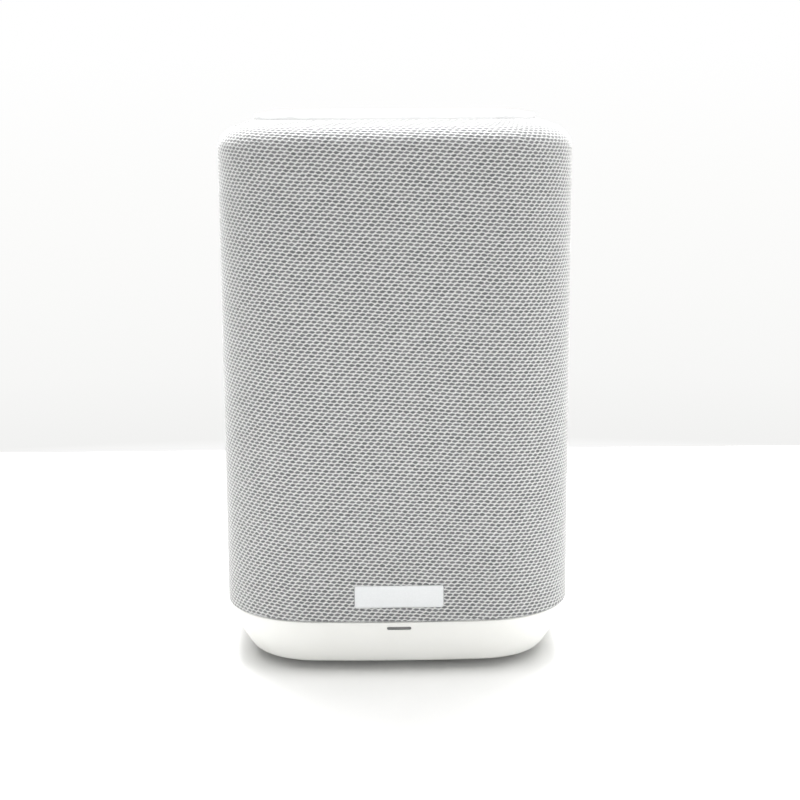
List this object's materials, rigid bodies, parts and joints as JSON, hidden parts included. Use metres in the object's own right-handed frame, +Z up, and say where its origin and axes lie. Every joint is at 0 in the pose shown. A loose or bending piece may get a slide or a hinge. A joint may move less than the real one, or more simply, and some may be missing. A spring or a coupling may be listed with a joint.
{
  "type": "smart speaker",
  "caption": "Softly square tabletop smart speaker: knitted fabric column on a white moulded bowl, glossy touch panel on top, plain plate and status light in front, recessed sockets behind.",
  "frame": {"origin": "on the table surface under the middle of the speaker", "axes": "+Z up, +Y towards the rear connector panel, -Y towards the listener, +X to the right when the front is seen"},
  "size_m": [0.12, 0.1202, 0.187],
  "materials": {
    "moulded_white": "satin",
    "gloss_white": "gloss",
    "rubber_grey": "matt",
    "knit_grey": "knitted",
    "painted_plate": "satin",
    "frame_dark": "matt",
    "light_bar": "translucent",
    "clear_guide": "frosted",
    "circuit_board": "solder mask",
    "seal_foam": "matt",
    "wadding_white": "lofted",
    "zinc_steel": "zinc plated",
    "black_steel": "powder coated",
    "ferrite": "ground",
    "cone_black": "matt",
    "spider_cloth": "impregnated",
    "dome_silk": "coated",
    "copper_wire": "enamelled",
    "socket_black": "matt",
    "brass_insert": "turned",
    "nickel": "plated",
    "heat_sink_alloy": "extruded",
    "core_yellow": "taped",
    "capacitor_sleeve": "heat shrunk",
    "lead_jacket": "extruded",
    "ribbon_white": "laminated"
  },
  "bodies": {
    "speaker_housing": {"base_shell": "moulded_white", "foot_pad": "rubber_grey", "base_screws": "zinc_steel", "status_light_lens": "light_bar", "status_light_board": "circuit_board", "grille_frame": "frame_dark", "fabric_sleeve": "knit_grey", "badge_plate": "painted_plate", "touch_panel": "gloss_white", "light_guide": "clear_guide", "touch_board": "circuit_board", "microphones": "nickel", "top_carrier": "frame_dark", "carrier_screws": "zinc_steel", "cabinet_front": "frame_dark", "cabinet_rear": "frame_dark", "cabinet_seal": "seal_foam", "cabinet_screws": "zinc_steel", "wadding": "wadding_white", "woofer_basket": "black_steel", "woofer_gasket": "seal_foam", "woofer_screws": "zinc_steel", "woofer_front_plate": "zinc_steel", "woofer_magnet": "ferrite", "woofer_yoke": "zinc_steel", "woofer_surround": "rubber_grey", "woofer_spider": "spider_cloth", "tweeter_faceplate": "cone_black", "tweeter_screws": "zinc_steel", "tweeter_front_plate": "zinc_steel", "tweeter_magnet": "ferrite", "tweeter_yoke": "zinc_steel", "power_board": "circuit_board", "main_board": "circuit_board", "amplifier_board": "circuit_board", "board_screws": "zinc_steel", "mains_transformer": "core_yellow", "filter_capacitors": "capacitor_sleeve", "processor_shield": "nickel", "wireless_module": "nickel", "heat_sink": "heat_sink_alloy", "rear_panel": "moulded_white", "rear_panel_screws": "black_steel", "mounting_insert": "brass_insert", "network_socket": "socket_black", "usb_socket": "nickel", "audio_socket": "socket_black", "mains_inlet": "socket_black", "inlet_pins": "nickel", "button_switches": "socket_black", "antennas": "circuit_board", "speaker_leads": "lead_jacket", "ribbon_cable": "ribbon_white"},
    "woofer_cone_assembly": {"woofer_cone": "cone_black", "woofer_dust_cap": "cone_black", "woofer_voice_coil": "copper_wire"},
    "tweeter_dome_assembly": {"tweeter_dome": "dome_silk", "tweeter_voice_coil": "copper_wire"},
    "connect_button": {"connect_button": "moulded_white"},
    "bluetooth_button": {"bluetooth_button": "moulded_white"}
  },
  "joints": [
    {"name": "woofer_travel", "type": "slide", "parent": "speaker_housing", "child": "woofer_cone_assembly", "axis": [0, -1, 0], "range_m": [-0.004, 0.004], "stiffness_N_per_m": 1600, "deforming": ["woofer_surround", "woofer_spider"]},
    {"name": "tweeter_travel", "type": "slide", "parent": "speaker_housing", "child": "tweeter_dome_assembly", "axis": [0, -1, 0], "range_m": [-0.0003, 0.0003], "stiffness_N_per_m": 1500},
    {"name": "connect_button_press", "type": "slide", "parent": "speaker_housing", "child": "connect_button", "axis": [0, -1, 0], "range_m": [0, 0.0005], "stiffness_N_per_m": 800},
    {"name": "bluetooth_button_press", "type": "slide", "parent": "speaker_housing", "child": "bluetooth_button", "axis": [0, -1, 0], "range_m": [0, 0.0005], "stiffness_N_per_m": 800}
  ]
}
